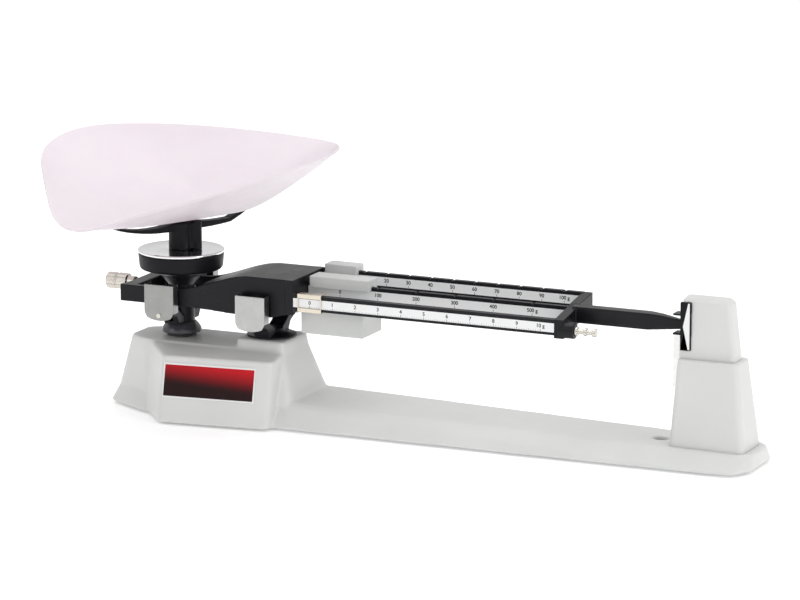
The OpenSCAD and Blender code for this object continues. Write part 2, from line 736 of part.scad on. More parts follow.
module rear_poise() color("gainsboro") difference() {
    union() {
        box(31.5, 55, rear_y - 6, rear_y + 6, 98.3, 104.6);
        box(31.5, 55, rear_y + 2.1, rear_y + 6, 88, 98.4);
    }
    box(20, 70, rear_y - beam_t / 2 - 0.15, rear_y + beam_t / 2 + 0.15, 80, rear_top + 0.1);
}

strap_in = beam_t / 2 + 0.3;

module centre_poise() color("gainsboro") difference() {
    union() {
        box(32, 75.5, -7.25, 7.25, 93.2, 101);
        box(36, 71.5, strap_in, 7.25, 79, 94);
    }
    box(20, 90, -beam_t / 2 - 0.3, beam_t / 2 + 0.3, 80, centre_top + 0.1);
    for (x = [44, 63]) translate([x, 4.7, 78]) cylinder(r = 1.25, h = 9);
}

module centre_poise_weight() color("gainsboro") difference() {
    box(29.3, 75, -15, 15, 63, 79);
    for (x = [44, 63]) translate([x, 4.7, 60]) {
        cylinder(r = 1.6, h = 30);
        cylinder(r = 3, h = 8);
    }
}

module poise_weight_screws() color("silver")
    for (x = [44, 63]) translate([x, 4.7, 0]) {
        translate([0, 0, 65.5]) cylinder(r = 2.8, h = 2.5);
        translate([0, 0, 67.9]) cylinder(r = 1.25, h = 18);
    }

module front_rider() color("wheat") difference() {
    box(32, 49.5, front_y - 2.8, front_y + 2.8, 80, front_top + 1);
    box(20, 60, front_y - beam_t / 2 - 0.15, front_y + beam_t / 2 + 0.15,
        80.9, front_top + 0.1);
    box(32.6, 48.9, front_y - 6, front_y, 82.9, 89.4);
}

base_casting();
bottom_cover();
cover_screws();
rubber_feet();
label_plate();
fulcrum_pillar();
pillar_screws();
main_bearings();
main_bearing_covers();
stem_grommet();
link_bracket();
link_bracket_pin();
check_link();
tower_lower();
tower_upper();
tower_screws();
index_plate();
index_mark();
damping_magnets();
magnet_yoke();
magnet_yoke_screws();
beam_frame();
main_knife();
pan_knives();
rear_scale();
centre_scale();
front_scale();
pointer_flag();
damping_vane();
weight_stud();
zero_screw();
zero_knob();
pan_hanger();
pan_bearings();
pan_bearing_covers();
pan_cover_rivets();
dust_skirt();
link_stem_pin();
seat_cup();
seat_plate();
seat_screws();
scoop_support();
scoop();
rear_poise();
centre_poise();
centre_poise_weight();
poise_weight_screws();
front_rider();
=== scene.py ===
"""The looks of a triple beam balance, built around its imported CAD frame.

Metres, +X along the beams to the indicator tower, +Y to the back, +Z up.
Shape sizes below are in millimetres and are scaled by MM where a mesh is made.
"""

import json
import math

import bmesh
import bpy
from mathutils import Matrix, Vector


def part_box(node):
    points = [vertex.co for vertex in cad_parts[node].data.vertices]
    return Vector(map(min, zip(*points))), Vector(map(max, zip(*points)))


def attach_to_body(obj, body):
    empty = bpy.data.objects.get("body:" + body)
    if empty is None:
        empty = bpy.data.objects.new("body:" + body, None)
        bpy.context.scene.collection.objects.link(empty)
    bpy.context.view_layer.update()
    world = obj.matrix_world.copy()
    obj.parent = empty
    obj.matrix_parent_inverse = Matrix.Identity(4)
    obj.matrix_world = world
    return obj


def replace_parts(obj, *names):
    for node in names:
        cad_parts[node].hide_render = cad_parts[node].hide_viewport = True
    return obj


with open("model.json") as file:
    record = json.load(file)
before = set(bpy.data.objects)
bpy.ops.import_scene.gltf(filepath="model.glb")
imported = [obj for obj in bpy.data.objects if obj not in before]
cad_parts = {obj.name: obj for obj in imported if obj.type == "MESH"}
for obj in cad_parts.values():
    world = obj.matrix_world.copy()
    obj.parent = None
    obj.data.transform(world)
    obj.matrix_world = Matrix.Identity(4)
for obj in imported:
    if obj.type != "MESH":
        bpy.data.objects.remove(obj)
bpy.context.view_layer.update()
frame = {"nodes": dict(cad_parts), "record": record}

MM = 0.001
CAD = frame["nodes"]
RECORD = frame["record"]
BODY = {node: body for body, nodes in RECORD["behaviour"]["bodies"].items() for node in nodes}
SLOT = {row["node"]: row["material_slot"] for row in RECORD["subparts"]}


# ---------- node trees ----------


class Finish:
    """A material with short calls for the nodes that this scene uses."""

    def __init__(self, name):
        self.material = bpy.data.materials.new(name)
        self.material.use_nodes = True
        self.tree = self.material.node_tree
        self.shader = self.tree.nodes["Principled BSDF"]
        self.place = self.add("ShaderNodeTexCoord").outputs["Object"]

    def add(self, kind, **settings):
        """A new node with its settings."""
        node = self.tree.nodes.new(kind)
        for key, value in settings.items():
            setattr(node, key, value)
        return node

    def feed(self, socket, value):
        """Links an output to the socket, or sets its plain value."""
        if isinstance(value, bpy.types.NodeSocket):
            self.tree.links.new(value, socket)
        else:
            socket.default_value = value

    def set(self, **inputs):
        """Feeds inputs of the main shader, named with _ for each space."""
        for key, value in inputs.items():
            self.feed(self.shader.inputs[key.replace("_", " ")], value)

    def stretched(self, scale):
        """Object coordinates scaled per axis, in cycles per metre."""
        node = self.add("ShaderNodeMapping")
        self.feed(node.inputs["Vector"], self.place)
        node.inputs["Scale"].default_value = scale
        return node.outputs["Vector"]

    def noise(self, size_mm, detail=3.0, rough=0.55, where=None):
        """Noise whose largest grain is about size_mm across."""
        node = self.add("ShaderNodeTexNoise")
        self.feed(node.inputs["Vector"], where or self.place)
        node.inputs["Scale"].default_value = 1.0 / (size_mm * MM)
        node.inputs["Detail"].default_value = detail
        node.inputs["Roughness"].default_value = rough
        return node.outputs["Fac"]

    def cells(self, size_mm):
        """Distance to the middle of small round grains."""
        node = self.add("ShaderNodeTexVoronoi")
        self.feed(node.inputs["Vector"], self.place)
        node.inputs["Scale"].default_value = 1.0 / (size_mm * MM)
        return node.outputs["Distance"]

    def span(self, value, low, high, to_low=0.0, to_high=1.0, curve="LINEAR"):
        """value mapped from low..high to to_low..to_high, held at both ends."""
        node = self.add("ShaderNodeMapRange", interpolation_type=curve)
        self.feed(node.inputs["Value"], value)
        node.inputs["From Min"].default_value = low
        node.inputs["From Max"].default_value = high
        node.inputs["To Min"].default_value = to_low
        node.inputs["To Max"].default_value = to_high
        return node.outputs["Result"]

    def math(self, operation, a, b=0.0):
        node = self.add("ShaderNodeMath", operation=operation)
        self.feed(node.inputs[0], a)
        self.feed(node.inputs[1], b)
        return node.outputs[0]

    def mix(self, factor, first, second):
        """first at factor 0, second at factor 1."""
        node = self.add("ShaderNodeMix", data_type="RGBA")
        self.feed(node.inputs[0], factor)
        self.feed(node.inputs[6], first)
        self.feed(node.inputs[7], second)
        return node.outputs[2]

    def bump(self, height, depth_mm, strength=1.0, under=None):
        """A bumped normal, on top of the one given as under."""
        node = self.add("ShaderNodeBump")
        self.feed(node.inputs["Height"], height)
        node.inputs["Distance"].default_value = depth_mm * MM
        node.inputs["Strength"].default_value = strength
        if under:
            self.feed(node.inputs["Normal"], under)
        return node.outputs["Normal"]

    def edges(self, low=0.52, high=0.60):
        """1 on outer edges, where handling wears the surface."""
        point = self.add("ShaderNodeNewGeometry").outputs["Pointiness"]
        return self.span(point, low, high)

    def axes(self):
        """Object X, Y and Z."""
        node = self.add("ShaderNodeSeparateXYZ")
        self.feed(node.inputs[0], self.place)
        return node.outputs


def rgba(colour, factor=1.0):
    """A colour, made darker or lighter by a factor, with alpha."""
    return (*[min(1.0, c * factor) for c in colour], 1.0)


def enamel(
    name, colour, rough, grain_mm=0.9, grain_depth=0.02, wear=1.12, coat=0.15, gloss=0.5
):
    """Sprayed paint on a casting: orange peel, faint blotches and rubbed edges.

    wear is how much lighter a rubbed edge is."""
    f = Finish(name)
    blotch = f.span(f.noise(60, 4), 0.35, 0.65)
    base = f.mix(blotch, rgba(colour, 0.975), rgba(colour, 1.02))
    rubbed = f.math("MULTIPLY", f.edges(), f.span(f.noise(5, 5), 0.35, 0.7, 0.2, 0.8))
    colour_out = f.mix(rubbed, base, rgba(colour, wear))
    haze = f.span(f.noise(18, 5, 0.7), 0.3, 0.7, rough - 0.06, rough + 0.07)
    peel = f.bump(f.noise(grain_mm, 2), grain_depth, 0.5)
    fine = f.bump(f.noise(grain_mm * 0.25, 2), grain_depth * 0.4, 0.4, peel)
    f.set(
        Base_Color=colour_out,
        Roughness=haze,
        Normal=fine,
        Coat_Weight=coat,
        Coat_Roughness=0.25,
        Specular_IOR_Level=gloss,
    )
    return f


def moulded(
    name, colour, rough, grain_mm=0.35, grain_depth=0.015, variation=0.06, gloss=0.5
):
    """Injection-moulded plastic: fine spark-eroded grain, dull streaks and shiny rubbed edges."""
    f = Finish(name)
    streak = f.noise(25, 4, 0.6, f.stretched((1.0, 1.0, 0.35)))
    shade = f.span(streak, 0.3, 0.7)
    base = f.mix(shade, rgba(colour, 1 - variation), rgba(colour, 1 + variation))
    worn = f.math("MULTIPLY", f.edges(), f.span(f.noise(3, 4), 0.4, 0.7))
    dull = f.span(f.noise(9, 5, 0.7), 0.3, 0.7, rough - 0.05, rough + 0.08)
    polished = f.math("SUBTRACT", dull, f.math("MULTIPLY", worn, 0.12))
    grain = f.bump(f.cells(grain_mm), grain_depth, 0.35)
    wave = f.bump(f.noise(14, 2), 0.05, 0.25, grain)
    f.set(Base_Color=base, Roughness=polished, Normal=wave, Specular_IOR_Level=gloss)
    return f


def metal(name, colour, rough, lines=(1.0, 1.0, 0.02), line_mm=0.18, depth=0.006, stain=0.06):
    """Ground or brushed metal. lines holds the grain's stretch along each axis."""
    f = Finish(name)
    grain = f.noise(line_mm, 4, 0.7, f.stretched(lines))
    cloud = f.span(f.noise(8, 5, 0.65), 0.3, 0.7)
    tone = f.mix(cloud, rgba(colour, 1 - stain), rgba(colour, 1 + stain))
    bright = f.mix(f.span(grain, 0.3, 0.7, 0.0, 0.35), tone, rgba(colour, 1.15))
    gloss = f.span(grain, 0.3, 0.7, rough - 0.05, rough + 0.08)
    smudge = f.span(f.noise(6, 4, 0.6), 0.5, 0.75, 0.0, 0.08)
    f.set(
        Base_Color=bright,
        Metallic=1.0,
        Roughness=f.math("ADD", gloss, smudge),
        Normal=f.bump(grain, depth, 0.5),
    )
    return f


def rubber(name, colour):
    """Matt rubber with a little dust."""
    f = Finish(name)
    dust = f.span(f.noise(4, 5, 0.7), 0.45, 0.75, 0.0, 0.3)
    base = f.mix(dust, rgba(colour), rgba(colour, 2.2))
    f.set(
        Base_Color=base,
        Roughness=f.span(f.noise(3, 4), 0.3, 0.7, 0.45, 0.7),
        Normal=f.bump(f.noise(0.5, 3), 0.03, 0.4),
        Sheen_Weight=0.2,
    )
    return f


def translucent(name, colour):
    """The scoop's thick satin plastic, which glows a little where light comes through it."""
    f = Finish(name)
    cloud = f.span(f.noise(22, 5, 0.6), 0.38, 0.62)
    red, green, blue = colour
    base = f.mix(cloud, rgba(colour, 0.985), rgba((red, green * 1.012, blue * 1.005)))
    scratches = f.noise(0.5, 3, 0.6, f.stretched((1.0, 0.06, 1.0)))
    rub = f.span(scratches, 0.55, 0.72, 0.0, 0.10)
    satin = f.span(f.noise(35, 4), 0.3, 0.7, 0.34, 0.44)
    f.set(
        Base_Color=base,
        Roughness=f.math("ADD", satin, rub),
        Normal=f.bump(f.noise(0.9, 3), 0.012, 0.35),
        Subsurface_Weight=0.25,
        Subsurface_Radius=(1.0, 0.7, 0.8),
        Subsurface_Scale=4 * MM,
        Specular_IOR_Level=0.45,
    )
    return f


def stone(name, colour):
    """Polished agate with soft bands."""
    f = Finish(name)
    band = f.noise(2.5, 5, 0.6, f.stretched((1.0, 0.4, 2.0)))
    base = f.mix(f.span(band, 0.3, 0.7), rgba(colour, 0.7), rgba(colour, 1.25))
    f.set(Base_Color=base, Roughness=f.span(band, 0.2, 0.8, 0.08, 0.16), Coat_Weight=0.5)
    return f


def printed(name, colour, rough=0.42):
    """A printed strip: satin lacquer over an even ground with slight yellowing and fine dust."""
    f = Finish(name)
    age = f.span(f.noise(12, 4), 0.35, 0.7)
    red, green, blue = colour
    base = f.mix(age, rgba(colour), rgba((red, green * 0.99, blue * 0.965)))
    f.set(
        Base_Color=base,
        Roughness=f.span(f.noise(2, 5), 0.3, 0.7, rough - 0.06, rough + 0.08),
        Normal=f.bump(f.noise(0.3, 2), 0.004, 0.4),
        Coat_Weight=0.2,
    )
    return f


LABEL_LEAN = 0.22                   # how much higher the fade sits at the right end
LABEL_BLACK, LABEL_RED = 0.42, 1.2  # where the fade starts and ends, in plate heights
KEYLINE_FROM_X = 0.481              # the keyline starts this far from the middle,
KEYLINE_FROM_Z = 0.45               # as a share of the plate's width and height


def label_print(name, red, black, white):
    """A plain red plate that fades to black towards its lower edge, with a white keyline."""
    low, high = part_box("label_plate")
    f = Finish(name)
    x, _, z = f.axes()
    across = f.span(x, low.x, high.x)
    up = f.span(z, low.z, high.z)
    lean = f.math("ADD", up, f.math("MULTIPLY", across, LABEL_LEAN))
    fade = f.span(lean, LABEL_BLACK, LABEL_RED, curve="SMOOTHSTEP")
    ink = f.mix(fade, rgba(black), rgba(red))
    dots = f.mix(f.span(f.cells(0.35), 0.2, 0.6, 0.0, 0.015), ink, rgba(red, 1.2))
    from_middle = [f.math("ABSOLUTE", f.math("SUBTRACT", share, 0.5)) for share in (across, up)]
    side = f.math("GREATER_THAN", from_middle[0], KEYLINE_FROM_X)
    cap = f.math("GREATER_THAN", from_middle[1], KEYLINE_FROM_Z)
    line = f.math("MAXIMUM", side, cap)
    f.set(
        Base_Color=f.mix(line, dots, rgba(white)),
        Roughness=f.span(f.noise(5, 4), 0.3, 0.7, 0.28, 0.38),
        Normal=f.bump(f.noise(0.6, 2), 0.006, 0.4),
        Specular_IOR_Level=0.15,
    )
    return f


def paint_shade_inside(finish, colour, node, insets):
    """Painted shade: darkens what lies inside a hollow part, where its shadow falls.

    insets holds a (low, high) margin in mm for each axis."""
    low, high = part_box(node)
    inside = 1.0
    for place_on_axis, start, end, (first, last) in zip(finish.axes(), low, high, insets):
        above = finish.math("GREATER_THAN", place_on_axis, start + first * MM)
        below = finish.math("LESS_THAN", place_on_axis, end - last * MM)
        inside = finish.math("MULTIPLY", finish.math("MULTIPLY", above, below), inside)
    # mixes the dark painted shade colour over the surface's own colour inside the box
    socket = finish.shader.inputs["Base Color"]
    plain = socket.links[0].from_socket
    finish.feed(socket, finish.mix(inside, plain, rgba(colour)))
    return finish


WHITE_PAINT = (0.67, 0.675, 0.66)
ALONG_X = (0.05, 1.0, 1.0)          # brushing lines that run along X
EVEN = (1.0, 1.0, 1.0)              # no direction
FINISHES = {
    "base_paint": enamel("base_paint", WHITE_PAINT, 0.42),
    "beam_paint": enamel(
        "beam_paint", (0.007, 0.007, 0.009), 0.32,
        grain_mm=0.7, grain_depth=0.012, wear=2.5, coat=0.05, gloss=0.2,
    ),
    "poise_paint": enamel(
        "poise_paint", (0.60, 0.61, 0.60), 0.45,
        grain_mm=0.6, grain_depth=0.035, wear=1.15, coat=0.1,
    ),
    "black_plastic": moulded("black_plastic", (0.008, 0.008, 0.010), 0.40, gloss=0.15),
    "scoop_plastic": translucent("scoop_plastic", (0.755, 0.69, 0.735)),
    "stainless": metal("stainless", (0.46, 0.46, 0.45), 0.27),
    "nickel": metal("nickel", (0.60, 0.57, 0.52), 0.16, ALONG_X, line_mm=0.12, depth=0.003),
    "knife_steel": metal("knife_steel", (0.52, 0.53, 0.55), 0.2, (1.0, 0.03, 1.0)),
    "plain_steel": metal(
        "plain_steel", (0.48, 0.50, 0.53), 0.38, EVEN, line_mm=1.2, depth=0.01, stain=0.12
    ),
    "magnet": metal("magnet", (0.12, 0.12, 0.13), 0.5, EVEN, line_mm=0.6, depth=0.02, stain=0.2),
    "vane_metal": metal(
        "vane_metal", (0.86, 0.86, 0.85), 0.45, ALONG_X, line_mm=0.2, depth=0.004
    ),
    "rider_metal": metal("rider_metal", (0.72, 0.65, 0.55), 0.28, ALONG_X),
    "scale_white": printed("scale_white", (0.84, 0.85, 0.86)),
    "label_print": label_print(
        "label_print", (0.56, 0.012, 0.02), (0.012, 0.006, 0.007), (0.8, 0.8, 0.8)
    ),
    "agate": stone("agate", (0.50, 0.44, 0.40)),
    "rubber": rubber("rubber", (0.03, 0.03, 0.033)),
}
SMOKED = moulded("smoked_plastic", (0.015, 0.014, 0.018), 0.32, gloss=0.2)
# painted shade: a darker copy of the stainless, standing for the dark reflection on the pan's
# bearing covers
STAINLESS_SHADED = metal("stainless_painted_shade", (0.32, 0.32, 0.31), 0.30)
TINTED = moulded("tinted_plastic", (0.07, 0.068, 0.08), 0.22, gloss=0.5)
INK = printed("scale_ink", (0.015, 0.015, 0.018), 0.5)
POLISHED = metal(
    "polished_plate", (0.80, 0.80, 0.80), 0.10, EVEN, line_mm=0.3, depth=0.002, stain=0.03
)
# tower paint with painted shade: the inside of the upper tower's slot is darkened to stand for its
# shadow
TOWER_PAINT_SHADED = paint_shade_inside(
    enamel("tower_paint_painted_shade", WHITE_PAINT, 0.42), (0.05, 0.05, 0.052), "tower_upper",
    ((2.0, 7.0), (1.6, 1.6), (-1.0, 3.2)),
)


# ---------- mesh helpers ----------


def linked(name, data):
    """A new object in the scene."""
    obj = bpy.data.objects.new(name, data)
    bpy.context.scene.collection.objects.link(obj)
    return obj


def attach(name, mesh, node, finish):
    """Adds a detail that rides with a CAD node and hides nothing."""
    obj = linked(name, mesh)
    mesh.materials.clear()
    mesh.materials.append(finish.material)
    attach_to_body(obj, BODY[node])
    return obj


def place(name, mesh, node, finish=None):
    """Adds a piece that stands for a CAD node and takes its finish if no other is given."""
    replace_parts(attach(name, mesh, node, finish or FINISHES[SLOT[node]]), node)


def mesh_from(bm, name, smooth=True):
    """A bmesh as a mesh, with its faces turned outwards."""
    bmesh.ops.recalc_face_normals(bm, faces=bm.faces)
    mesh = bpy.data.meshes.new(name)
    bm.to_mesh(mesh)
    bm.free()
    for polygon in mesh.polygons:
        polygon.use_smooth = smooth
    return mesh


def welded(node, x_from=None, x_to=None):
    """A CAD node's surface as one welded bmesh, cut to a stretch of X and closed again if asked."""
    bm = bmesh.new()
    bm.from_mesh(CAD[node].data)
    bmesh.ops.remove_doubles(bm, verts=bm.verts, dist=0.002 * MM)
    for x, side in ((x_from, -1), (x_to, 1)):
        if x is None:
            continue
        cut = bmesh.ops.bisect_plane(
            bm, geom=bm.verts[:] + bm.edges[:] + bm.faces[:], dist=1e-7,
            plane_co=(x * MM, 0, 0), plane_no=(side, 0, 0), clear_outer=True,
        )
        rim = [e for e in cut["geom_cut"] if isinstance(e, bmesh.types.BMEdge)]
        bmesh.ops.holes_fill(bm, edges=rim, sides=0)
    bmesh.ops.triangulate(bm, faces=[f for f in bm.faces if len(f.verts) > 4])
    return bm


def baked(holder):
    """The final mesh of an object, which is then removed."""
    bpy.context.view_layer.update()
    graph = bpy.context.evaluated_depsgraph_get()
    mesh = bpy.data.meshes.new_from_object(holder.evaluated_get(graph))
    bpy.data.objects.remove(holder)
    return mesh


def applied(mesh, add_modifiers):
    """The mesh with modifiers worked in, so that no modifier is left on the piece."""
    holder = linked("holder", mesh)
    add_modifiers(holder)
    return baked(holder)


def cast(node, grain, passes, x_from=None, x_to=None, suffix="skin", finish=None):
    """A CAD node with the small radii that casting or moulding leaves on every edge.

    grain is the mesh's cell size and passes the number of smoothing passes."""

    def soften(holder):
        remesh = holder.modifiers.new("cells", "REMESH")
        remesh.mode = "VOXEL"
        remesh.voxel_size = grain * MM
        remesh.use_smooth_shade = True
        smooth = holder.modifiers.new("radius", "SMOOTH")
        smooth.factor = 0.5
        smooth.iterations = passes

    mesh = mesh_from(welded(node, x_from, x_to), node)
    place(f"{node}_{suffix}", applied(mesh, soften), node, finish)


def crisp(node, radius, x_from=None, x_to=None, suffix="edged", segments=3, finish=None):
    """A CAD node with true flat faces and a small round on each edge."""

    def edge(holder):
        bevel = holder.modifiers.new("edge", "BEVEL")
        bevel.width = radius * MM
        bevel.segments = segments
        bevel.limit_method = "ANGLE"
        bevel.angle_limit = math.radians(28)
        weight = holder.modifiers.new("flat", "WEIGHTED_NORMAL")
        weight.keep_sharp = True

    bm = welded(node, x_from, x_to)
    bmesh.ops.dissolve_limit(
        bm, angle_limit=math.radians(0.5), verts=bm.verts, edges=bm.edges,
        use_dissolve_boundaries=False,
    )
    place(f"{node}_{suffix}", applied(mesh_from(bm, node), edge), node, finish)


def rounded(points, radius, steps=5):
    """An outline with each inner corner turned into a small curve."""
    out = [points[0]]
    for before, corner, after in zip(points, points[1:], points[2:]):
        a, b, c = (Vector(p) for p in (before, corner, after))
        reach = min(radius, (a - b).length * 0.45, (c - b).length * 0.45)
        start = b + (a - b).normalized() * reach
        end = b + (c - b).normalized() * reach
        for i in range(steps + 1):
            t = i / steps
            out.append(tuple((1 - t) ** 2 * start + 2 * t * (1 - t) * b + t * t * end))
    return out + [points[-1]]


def turned(profile, at, axis="Z", steps=128, ring=False, flute=None):
    """A turned solid. profile holds (radius, height) points.

    ring joins the last point to the first.

    flute(angle, height) gives a factor on the radius, for knurls and flats."""
    turn = Matrix.Identity(4) if axis == "Z" else Matrix.Rotation(math.pi / 2, 4, "Y")
    move = Matrix.Translation(Vector(at) * MM) @ turn
    bm = bmesh.new()
    rows = []
    for radius, height in profile:
        if radius < 1e-6:
            rows.append([bm.verts.new(move @ (Vector((0, 0, height)) * MM))])
            continue
        row = []
        for i in range(steps):
            angle = 2 * math.pi * i / steps
            r = radius * (flute(angle, height) if flute else 1)
            point = Vector((r * math.cos(angle), r * math.sin(angle), height))
            row.append(bm.verts.new(move @ (point * MM)))
        rows.append(row)
    pairs = list(zip(rows, rows[1:])) + ([(rows[-1], rows[0])] if ring else [])
    for low, high in pairs:
        for i in range(steps):
            j = (i + 1) % steps
            corners = (
                low[i % len(low)], low[j % len(low)], high[j % len(high)], high[i % len(high)]
            )
            unique = list(dict.fromkeys(corners))
            if len(unique) > 2:
                bm.faces.new(unique)
    return bm


def joined(parts, name):
    """Several bmeshes as one mesh."""
    whole = bmesh.new()
    for part in parts:
        scratch = bpy.data.meshes.new("scratch")
        part.to_mesh(scratch)
        part.free()
        whole.from_mesh(scratch)
        bpy.data.meshes.remove(scratch)
    return mesh_from(whole, name)


# ---------- base and tower ----------

cast("base_casting", 1.25, 4)
cast("tower_lower", 0.6, 5)
# the upper tower's finish darkens its inside as painted shade
cast("tower_upper", 0.4, 6, finish=TOWER_PAINT_SHADED)
crisp("index_plate", 0.25)
crisp("index_mark", 0.12)
crisp("label_plate", 0.18)


# ---------- supports under the knife edges ----------

cast("fulcrum_pillar", 0.4, 6, finish=SMOKED)
cast("main_bearing_covers", 0.24, 4)
cast("pan_hanger", 0.4, 6, finish=SMOKED)
# the pan's bearing covers take the darker stainless copy, a painted shade
cast("pan_bearing_covers", 0.24, 4, finish=STAINLESS_SHADED)


def centre_of(node):
    """Middle of a CAD node's box, in mm."""
    low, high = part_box(node)
    return (low + high) / 2 / MM


def dust_skirt():
    """Bell of thin plastic that keeps dust out of the stem hole."""
    low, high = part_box("dust_skirt")
    outer, top, bottom = (high.x - low.x) / 2 / MM, high.z / MM, low.z / MM
    stem = 4.5
    wall = 1.2
    outline = [(stem, top - 3), (stem, top), (9, top), (11.2, top - 1.8), (outer - 0.6, top - 4.6),
               (outer, bottom + 0.6), (outer - 0.5, bottom), (outer - wall - 0.5, bottom + 0.4),
               (outer - wall - 0.8, bottom + 2.2), (10.2, top - 3.2), (8.4, top - 3),
               (stem, top - 3)]
    centre = centre_of("dust_skirt")
    bm = turned(rounded(outline, 1.0)[:-1], (centre.x, centre.y, 0), ring=True)
    place("dust_skirt_bell", mesh_from(bm, "dust_skirt_bell"), "dust_skirt", TINTED)


def stem_grommet():
    """Rubber ring round the stem, let into the pedestal."""
    low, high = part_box("stem_grommet")
    outer, top, bottom = (high.x - low.x) / 2 / MM, high.z / MM, low.z / MM
    bore = 6.6
    outline = [(bore, bottom + 1), (bore, bottom), (outer, bottom), (outer, bottom + 1.6),
               (outer - 1.6, top), (bore + 0.6, top), (bore, top - 0.6), (bore, bottom + 1)]
    centre = centre_of("stem_grommet")
    bm = turned(rounded(outline, 0.5)[:-1], (centre.x, centre.y, 0), ring=True)
    place("stem_grommet_ring", mesh_from(bm, "stem_grommet_ring"), "stem_grommet")


dust_skirt()
stem_grommet()


# ---------- beam ----------

BEAM_FROM = 28.2    # the notched beams start behind the arm plate
BEAM_TO = 217.2     # and end inside the end frame
ARM_LAP = 1.5       # the arms and the end frame lap over the beams' cut ends
TAIL_LAP = 0.6
cast("beam_frame", 0.5, 6, x_to=BEAM_FROM + ARM_LAP, suffix="arms")
crisp("beam_frame", 0.22, BEAM_FROM, BEAM_TO + TAIL_LAP, suffix="beams", segments=2)
cast("beam_frame", 0.4, 5, x_from=BEAM_TO, suffix="tail")
cast("pointer_flag", 0.2, 4)
crisp("damping_vane", 0.15)


def stud():
    """Grooved stud that range weights hang from."""
    low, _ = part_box("weight_stud")
    centre = centre_of("weight_stud")
    start = low.x / MM
    collar, head, groove = 3.0, 2.7, 1.7
    outline = [(0, 0), (2, 0), (2, 5), (collar, 5), (collar, 7.2), (groove, 7.2), (groove, 11.5),
               (head, 11.5), (head, 13.5), (groove, 13.5), (groove, 17.5),
               (head, 17.5), (head, 20), (0, 20)]
    bm = turned(rounded(outline, 0.45), (start, centre.y, centre.z), "X", 96)
    place("weight_stud_turned", mesh_from(bm, "weight_stud_turned"), "weight_stud")


def knob():
    """Knurled zero knob with a plain collar towards the beam."""
    low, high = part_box("zero_knob")
    centre = centre_of("zero_knob")
    start, length = low.x / MM, (high.x - low.x) / MM
    outer, neck, bore = (high.z - low.z) / 2 / MM, 4.2, 1.83
    collar_from = length - 5.3
    knurled = [(bore, 0.6), (bore, 0.0), (outer - 0.9, 0.0), (outer, 0.9), (outer, 7.0),
               (outer - 0.35, 7.4), (outer - 0.35, 8.2), (outer, 8.6), (outer, collar_from - 0.7),
               (outer - 0.7, collar_from), (neck, collar_from), (neck, length - 0.4),
               (neck - 0.4, length), (bore, length), (bore, 0.6)]
    ridges, ridge_depth = 40, 0.045
    long_run = 2.5      # a longer straight run gets two more rows, so the ridges end sharply

    def knurl(angle, height):
        if not 0.9 <= height <= collar_from - 0.7:
            return 1.0
        wave = abs((angle * ridges / (2 * math.pi)) % 1.0 - 0.5) * 2
        return 1.0 - ridge_depth * wave

    outline = rounded(knurled, 0.3, 3)
    profile = []
    for (r, h), (next_r, next_h) in zip(outline, outline[1:]):
        profile.append((r, h))
        if next_h - h > long_run and r > neck:
            profile += [(r + (next_r - r) * t, h + (next_h - h) * t) for t in (0.02, 0.98)]
    bm = turned(profile, (start, centre.y, centre.z), "X", ridges * 8, ring=True, flute=knurl)
    place("zero_knob_knurled", mesh_from(bm, "zero_knob_knurled"), "zero_knob")


stud()
knob()


# ---------- scales ----------

INK_DEPTH = 0.05
NUMERAL_SIZE = 3.5
NUMERAL_WEIGHT = 0.022      # thickens the strokes, as a share of the size
NUMERAL_AT = 0.60           # middle of the numbers, as a share of the strip's height
MARK_FROM = 0.15            # bottom of the marks above the strip's lower edge


def mark(bm, x, z, width, height, face_y):
    """A thin raised bar of ink on a strip's front face, from z upwards."""
    size = Vector((width, INK_DEPTH, height))
    where = Vector((x, face_y - INK_DEPTH / 2, z + height / 2))
    shape = Matrix.Translation(where * MM) @ Matrix.Diagonal((*(size * MM), 1))
    bmesh.ops.create_cube(bm, size=1.0, matrix=shape)


def numeral(text, x, z, size, face_y):
    """A raised number, centred at x and z, that faces the front."""
    curve = bpy.data.curves.new("numeral", "FONT")
    curve.body = text
    curve.size = size * MM
    curve.extrude = INK_DEPTH / 2 * MM
    curve.offset = size * NUMERAL_WEIGHT * MM
    curve.align_x = "CENTER"
    curve.align_y = "CENTER"
    mesh = baked(linked("numeral", curve))
    bpy.data.curves.remove(curve)
    where = Vector((x, face_y - INK_DEPTH / 2, z))
    mesh.transform(Matrix.Translation(where * MM) @ Matrix.Rotation(math.pi / 2, 4, "X"))
    bm = bmesh.new()
    bm.from_mesh(mesh)
    bpy.data.meshes.remove(mesh)
    return bm


def scale_marks(node, zero, pitch, step, count, fine):
    """Numbers and marks of one scale: one number each pitch, and fine marks between if asked."""
    low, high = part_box(node)
    face, bottom, height = low.y / MM, low.z / MM, (high.z - low.z) / MM
    number_z = bottom + height * NUMERAL_AT
    numbers = []
    for i in range(count + 1):
        text = str(i * step) + (" g" if i == count else "")
        numbers.append(numeral(text, zero + i * pitch, number_z, NUMERAL_SIZE, face))
    attach(f"{node}_numbers", joined(numbers, f"{node}_numbers"), node, INK)
    bars = bmesh.new()
    for i in range(count * fine + 1):
        width, tall = 0.14, 0.8
        if i % fine == 0:
            width, tall = 0.28, 1.5
        elif fine > 1 and i % (fine // 2) == 0:
            tall = 1.15
        mark(bars, zero + i * pitch / fine, bottom + MARK_FROM, width, tall, face)
    attach(f"{node}_marks", mesh_from(bars, f"{node}_marks", False), node, INK)


scale_marks("front_scale", zero=40.75, pitch=16.7, step=1, count=10, fine=10)
scale_marks("centre_scale", zero=52.0, pitch=28.0, step=100, count=5, fine=1)
scale_marks("rear_scale", zero=43.0, pitch=16.2, step=10, count=10, fine=1)


# ---------- poises ----------

cast("rear_poise", 0.3, 3)
cast("centre_poise", 0.32, 3)
cast("centre_poise_weight", 0.4, 3)
cast("front_rider", 0.2, 3)


# ---------- pan seat ----------


